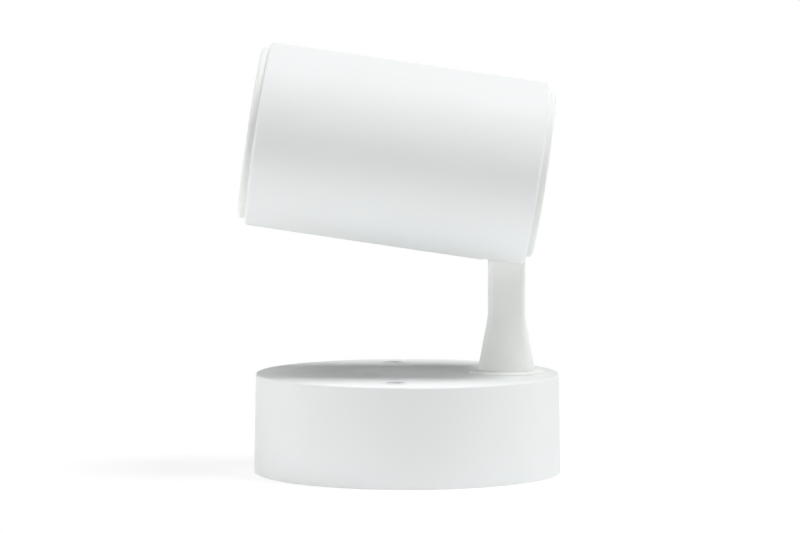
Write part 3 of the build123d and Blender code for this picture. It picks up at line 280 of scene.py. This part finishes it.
def moulded(name, color, shade, roughness, depth=0.000008, scatter=0.0):
    """Moulded plastic or rubber, with a spark-eroded grain and a faint flow of colour."""
    grain = 1800                     # waves to a metre
    plastic = Surface(name, color, roughness, Subsurface_Weight=scatter, Subsurface_Scale=0.0015)
    edges = plastic.soften_edges(0.0002)
    plastic.tint(shade, plastic.ranged(plastic.noise(70, detail=3, distortion=1.0), 0.0, 0.8))
    plastic.tint(tuple(min(1.0, part * 1.06) for part in color), edges)
    plastic.roughen(plastic.noise(grain / 3, detail=3), roughness - 0.07, roughness + 0.07)
    plastic.bump(plastic.noise(grain, detail=2), depth)
    return plastic.material


def clear_glass():
    """Toughened float glass with a faint green in its depth and a trace of wiping on its face."""
    glass = Surface("clear_glass", (0.965, 0.99, 0.98), 0.0, Transmission_Weight=1.0, IOR=1.5)
    wiped = glass.noise(130, detail=5, place=glass.stretched((1, 1, 3), rest_tilt))
    glass.roughen(wiped, 0.0, 0.035)
    glass.tint((0.95, 0.985, 0.975), glass.ranged(glass.noise(40), 0.0, 1.0))
    return glass.material


def phosphor():
    """The emitter's yellow silicone, with chips showing faintly as a grid of darker dots."""
    gel = Surface("phosphor", (0.95, 0.66, 0.10), 0.30, Subsurface_Weight=0.15, Subsurface_Scale=0.0006)
    dots = gel.node("ShaderNodeTexVoronoi", feature="F1")
    gel.set(dots, "Vector", gel.place)
    gel.set(dots, "Scale", 900)
    gel.set(dots, "Randomness", 0.15)
    gel.tint((0.86, 0.53, 0.06), gel.ranged(dots.outputs["Distance"], 0.9, 0.0, 0.15, 0.4))
    gel.roughen(gel.noise(1500), 0.22, 0.40)
    gel.bump(gel.noise(3000, detail=2), 0.000006)
    return gel.material


def circuit_board():
    """Green solder mask, paler and raised over its copper tracks."""
    board = Surface("circuit_board", (0.03, 0.22, 0.09), 0.30)
    tracks = board.node("ShaderNodeTexVoronoi", feature="DISTANCE_TO_EDGE", distance="EUCLIDEAN")
    board.set(tracks, "Vector", board.place)
    board.set(tracks, "Scale", 210)
    board.set(tracks, "Randomness", 0.55)
    mask = board.ranged(tracks.outputs["Distance"], 1.0, 0.0, 0.05, 0.09)
    board.tint((0.06, 0.36, 0.13), mask)
    board.roughen(board.noise(900), 0.24, 0.40)
    board.bump(mask, 0.000025)
    return board.material


def black_component():
    """Dark epoxy and lacquer on the driver's components, paler along their edges."""
    part = Surface("black_component", (0.045, 0.047, 0.052), 0.36)
    edges = part.soften_edges(0.0002)
    part.tint((0.075, 0.08, 0.09), part.ranged(part.noise(500, detail=4), 0.0, 1.0))
    part.tint((0.16, 0.16, 0.17), part.product(edges, 0.6))
    part.roughen(part.noise(700, detail=3), 0.28, 0.48)
    part.bump(part.noise(2400, detail=3), 0.000012)
    return part.material


def insulation(name, color, shade, stripe=None):
    """A lead's sleeve: soft gloss, a faint unevenness, and bands of a second colour where it has one."""
    sleeve = Surface(name, color, 0.32, Coat_Weight=0.05)
    sleeve.tint(shade, sleeve.ranged(sleeve.noise(260, detail=3), 0.0, 0.8))
    if stripe:
        bands = sleeve.node("ShaderNodeTexWave", wave_type="BANDS", bands_direction="DIAGONAL")
        sleeve.set(bands, "Vector", sleeve.place)
        sleeve.set(bands, "Scale", 95)
        sleeve.tint(stripe, sleeve.ranged(bands.outputs["Fac"], 0.0, 1.0, 0.48, 0.52))
    sleeve.roughen(sleeve.noise(800), 0.25, 0.42)
    sleeve.bump(sleeve.noise(1600, detail=2), 0.00001)
    return sleeve.material


coat_blue = 0.889                    # the blue in the coat's colour
casting_coat_blue = 0.861            # the castings' coat is a touch warmer

materials = {
    "white_coat": white_coat("white_coat", coat_blue),
    "zinc_steel": zinc_steel(),
    "bare_aluminium": bare_aluminium(),
    "bright_aluminium": bright_aluminium(),
    "brass": brass(),
    "white_nylon": moulded("white_nylon", (0.84, 0.84, 0.80), (0.80, 0.80, 0.75), 0.42, scatter=0.12),
    "black_rubber": moulded(
        "black_rubber", (0.030, 0.030, 0.033), (0.045, 0.045, 0.047), 0.66, depth=0.00002
    ),
    "clear_glass": clear_glass(),
    "phosphor": phosphor(),
    "driver_plastic": moulded(
        "driver_plastic", (0.76, 0.77, 0.77), (0.72, 0.73, 0.73), 0.50, depth=0.000016
    ),
    "circuit_board": circuit_board(),
    "black_component": black_component(),
    "brown_insulation": insulation("brown_insulation", (0.22, 0.095, 0.045), (0.18, 0.075, 0.035)),
    "blue_insulation": insulation("blue_insulation", (0.045, 0.19, 0.58), (0.035, 0.15, 0.50)),
    "earth_insulation": insulation(
        "earth_insulation", (0.62, 0.62, 0.05), (0.56, 0.57, 0.05), stripe=(0.03, 0.32, 0.07)
    ),
    "white_insulation": insulation("white_insulation", (0.82, 0.82, 0.79), (0.78, 0.78, 0.74)),
}

casting_coat = white_coat("casting_coat", casting_coat_blue)
castings = ("arm", "swivel_collar", "front_bezel", "rear_cap")


def dress_nodes():
    """Gives each node the finish that the record names for it, and the castings their own coat."""
    for subpart in frame["record"]["subparts"]:
        node = nodes[subpart["node"]]
        finish = casting_coat if subpart["node"] in castings else materials[subpart["material_slot"]]
        node.data.materials.clear()
        node.data.materials.append(finish)


dress_nodes()


# ------------------------------------------------------------------ the reflector, finer than its solid
def piece(name, mesh, material, body, place):
    """Makes an object of a bmesh, set in place, finished as a slot and riding on a body."""
    data = bpy.data.meshes.new(name)
    mesh.to_mesh(data)
    mesh.free()
    data.transform(place)
    data.materials.append(materials[material])
    made = bpy.data.objects.new(name, data)
    scene.collection.objects.link(made)
    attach(made, body)
    return made


# The reflector is spun from bright sheet and pressed into facets. Its size follows the solid that it
# replaces: the rim under the gasket, the throat round the emitter.
facet_columns = 28
facet_rows = 9
facet_bulge = 0.00032                # of a facet at the mouth; the facets flatten towards the throat
facet_cells = 4                      # faces along each side of a facet
reflector_wall = 0.0008
reflector_bulge = 0.0032             # of the whole wall, outwards
throat_radius = 0.007
mouth_radius = 0.02345
rim_radius = 0.02545
reflector_height = 0.0212
gasket_thickness = 0.0008


def reflector_profile(share):
    """The reflector's inner wall from its throat, 0, to its mouth, 1, as (radius, height)."""
    straight = Vector((mouth_radius - throat_radius, reflector_height))
    outward = Vector((straight.y, -straight.x)).normalized()
    start = Vector((throat_radius, 0))
    return start + straight * share + outward * reflector_bulge * sin(pi * share)


def ring(mesh, height, reaches):
    """Vertices evenly round Z at one height, each at its own reach from the axis."""
    verts = []
    for column, reach in enumerate(reaches):
        angle = 2 * pi * column / len(reaches)
        verts.append(mesh.verts.new((reach * cos(angle), reach * sin(angle), height)))
    return verts


def across_facet(row, column):
    """How far across its facet a vertex is, from 0 to 1. Alternate rows are shifted by half a facet."""
    shift = 0.5 * ((row // facet_cells) % 2)
    return (column / facet_cells + shift) % 1


def facet_rise(row, column):
    """How far a vertex stands above its facet's edges, as a share: 0 on them, 1 at the middle."""
    across = across_facet(row, column)
    along = (row % facet_cells) / facet_cells
    return (1 - (2 * across - 1) ** 2) * (1 - (2 * along - 1) ** 2)


def mark_facet_edges(mesh, rows):
    """Smooths all faces, and keeps the edges between facets sharp."""
    for face in mesh.faces:
        face.smooth = True
    for row, (low, high) in enumerate(zip(rows, rows[1:])):
        for column, vert in enumerate(low):
            after = low[(column + 1) % len(low)]
            mesh.edges.get((vert, after)).smooth = row % facet_cells != 0
            mesh.edges.get((vert, high[column])).smooth = across_facet(row, column) != 0


def faceted_reflector():
    """Rings up the inner wall, round the rim and down the outer wall, joined into a closed shell."""
    around = facet_columns * facet_cells
    up = facet_rows * facet_cells
    mesh = bmesh.new()
    inner = []
    outer = []
    for row in range(up + 1):
        radius, height = reflector_profile(row / up)
        bulge = facet_bulge * radius / mouth_radius
        reaches = [radius - bulge * facet_rise(row, column) for column in range(around)]
        inner.append(ring(mesh, height, reaches))
        if row < up:
            outer.append(ring(mesh, height, [radius + reflector_wall] * around))
    rim_heights = (reflector_height, reflector_height - reflector_wall)
    rim = [ring(mesh, height, [rim_radius] * around) for height in rim_heights]
    loops = inner + rim + outer[::-1]
    for low, high in zip(loops, loops[1:] + loops[:1]):
        for column in range(around):
            after = (column + 1) % around
            mesh.faces.new((low[column], low[after], high[after], high[column]))
    bmesh.ops.recalc_face_normals(mesh, faces=mesh.faces)
    mark_facet_edges(mesh, inner)
    throat_from_glass = -(glass_thickness / 2 + gasket_thickness + reflector_height)
    made = piece("faceted_reflector", mesh, "bright_aluminium", "head", head_matrix(throat_from_glass))
    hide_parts("reflector")


faceted_reflector()


# ------------------------------------------------------------------ stage
floor_radius = 3.0
floor_sides = 96
floor_drop = 0.0001                  # below the object, so that the two don't touch
floor_tone = 0.94                    # of the floor that lights the object
floor_bounce = 0.105                 # a light table's faint glow, which lifts the undersides
floor_camera_lit = 0.24              # tone of the floor that the camera sees, where shadows fall
floor_camera_glow = 0.80             # and its own light, which keeps those shadows faint
floor_shadow_core = 0.10             # within it the shadow is as deep as it gets
floor_shadow_reach = 0.30            # past it the floor is as white as the background
world_level = 0.01
white = (1, 1, 1, 1)


def grey(level):
    return (level, level, level, 1)


def source(tree, kind, **inputs):
    """Adds a shader to the stage, with those inputs, and gives its output."""
    made = tree.nodes.new(kind)
    for name, value in inputs.items():
        made.inputs[name].default_value = value
    return made.outputs[0]


def joined(tree, kind, *outputs):
    """Adds a node that takes those outputs as its first inputs, in order, and gives its own output."""
    made = tree.nodes.new(kind)
    for socket, output in zip(made.inputs, outputs):
        tree.links.new(output, socket)
    return made.outputs[0]


def camera_side_rays(tree):
    """1 for rays that should see the white background: from the camera, off gloss, or through glass."""
    path = tree.nodes.new("ShaderNodeLightPath")
    total = path.outputs["Is Camera Ray"]
    for name in ("Is Glossy Ray", "Is Transmission Ray"):
        total = joined(tree, "ShaderNodeMath", total, path.outputs[name])
        total.node.operation = "MAXIMUM"
    return total


def far_from_object(tree):
    """0 round the object, where its shadow falls, rising to 1 at the shadow's reach."""
    place = tree.nodes.new("ShaderNodeTexCoord")
    distance = tree.nodes.new("ShaderNodeVectorMath")
    distance.operation = "LENGTH"
    tree.links.new(place.outputs["Object"], distance.inputs[0])
    fade = tree.nodes.new("ShaderNodeMapRange")
    fade.interpolation_type = "SMOOTHSTEP"
    fade.inputs["From Min"].default_value = floor_shadow_core
    fade.inputs["From Max"].default_value = floor_shadow_reach
    tree.links.new(distance.outputs["Value"], fade.inputs["Value"])
    return fade.outputs["Result"]


def floor_material():
    """Pale floor: it lights the object as a matt white does, and is seen as white with a soft shadow."""
    material = bpy.data.materials.new("floor")
    material.use_nodes = True
    tree = material.node_tree
    tree.nodes.clear()
    matt = source(tree, "ShaderNodeBsdfDiffuse", Color=grey(floor_tone))
    table = source(tree, "ShaderNodeEmission", Strength=floor_bounce)
    lit = joined(tree, "ShaderNodeAddShader", matt, table)
    shaded = source(tree, "ShaderNodeBsdfDiffuse", Color=grey(floor_camera_lit))
    glow = source(tree, "ShaderNodeEmission", Strength=floor_camera_glow)
    near = joined(tree, "ShaderNodeAddShader", shaded, glow)
    far = source(tree, "ShaderNodeEmission", Color=white)
    seen = joined(tree, "ShaderNodeMixShader", far_from_object(tree), near, far)
    mixed = joined(tree, "ShaderNodeMixShader", camera_side_rays(tree), lit, seen)
    tree.links.new(mixed, tree.nodes.new("ShaderNodeOutputMaterial").inputs["Surface"])
    return material


def make_floor():
    mesh = bmesh.new()
    bmesh.ops.create_circle(mesh, cap_ends=True, radius=floor_radius, segments=floor_sides)
    data = bpy.data.meshes.new("floor")
    mesh.to_mesh(data)
    mesh.free()
    floor = bpy.data.objects.new("floor", data)
    floor.location.z = -floor_drop
    data.materials.append(floor_material())
    scene.collection.objects.link(floor)


def make_world():
    """White where it is seen, and a dim grey that fills the shadows."""
    world = bpy.data.worlds.new("studio")
    scene.world = world
    world.use_nodes = True
    tree = world.node_tree
    tree.nodes.clear()
    ambient = source(tree, "ShaderNodeBackground", Color=white, Strength=world_level)
    seen = source(tree, "ShaderNodeBackground", Color=white, Strength=1.0)
    mixed = joined(tree, "ShaderNodeMixShader", camera_side_rays(tree), ambient, seen)
    tree.links.new(mixed, tree.nodes.new("ShaderNodeOutputWorld").inputs["Surface"])


# ------------------------------------------------------------------ lamps
# Large boxes overhead, brightest at the right, and low strips at the front, the left and the back right
lamp_aim = Vector((0, 0, 0.07))
box_size = (0.6, 0.6)
front_strip_size = (0.5, 0.2)
left_strip_size = (0.4, 0.2)
back_strip_size = (0.3, 0.25)


def softbox(name, place, size, radiance):
    """A rectangular lamp that faces the object. Its radiance counts what just shows as white as 1."""
    data = bpy.data.lights.new(name, "AREA")
    data.shape = "RECTANGLE"
    data.size, data.size_y = size
    data.energy = radiance * pi * size[0] * size[1]
    lamp = bpy.data.objects.new(name, data)
    lamp.location = place
    lamp.rotation_euler = (lamp_aim - Vector(place)).to_track_quat("-Z", "Y").to_euler()
    scene.collection.objects.link(lamp)


make_floor()
make_world()
softbox("top_right_box", (0.60, -0.10, 1.70), box_size, 17.2)
softbox("top_box", (0, 0, 1.80), box_size, 1.5)
softbox("top_left_box", (-0.60, -0.10, 1.70), box_size, 6.3)
softbox("top_front_box", (0, -0.90, 1.50), box_size, 1.3)
softbox("front_left_strip", (-0.90, -0.70, 0.12), front_strip_size, 4.5)
softbox("left_strip", (-0.95, -0.12, 0.12), left_strip_size, 9.8)
softbox("front_right_strip", (0.90, -0.70, 0.12), front_strip_size, 8.2)
softbox("back_right_strip", (0.70, 0.35, 0.15), back_strip_size, 2.4)

bpy.context.view_layer.update()
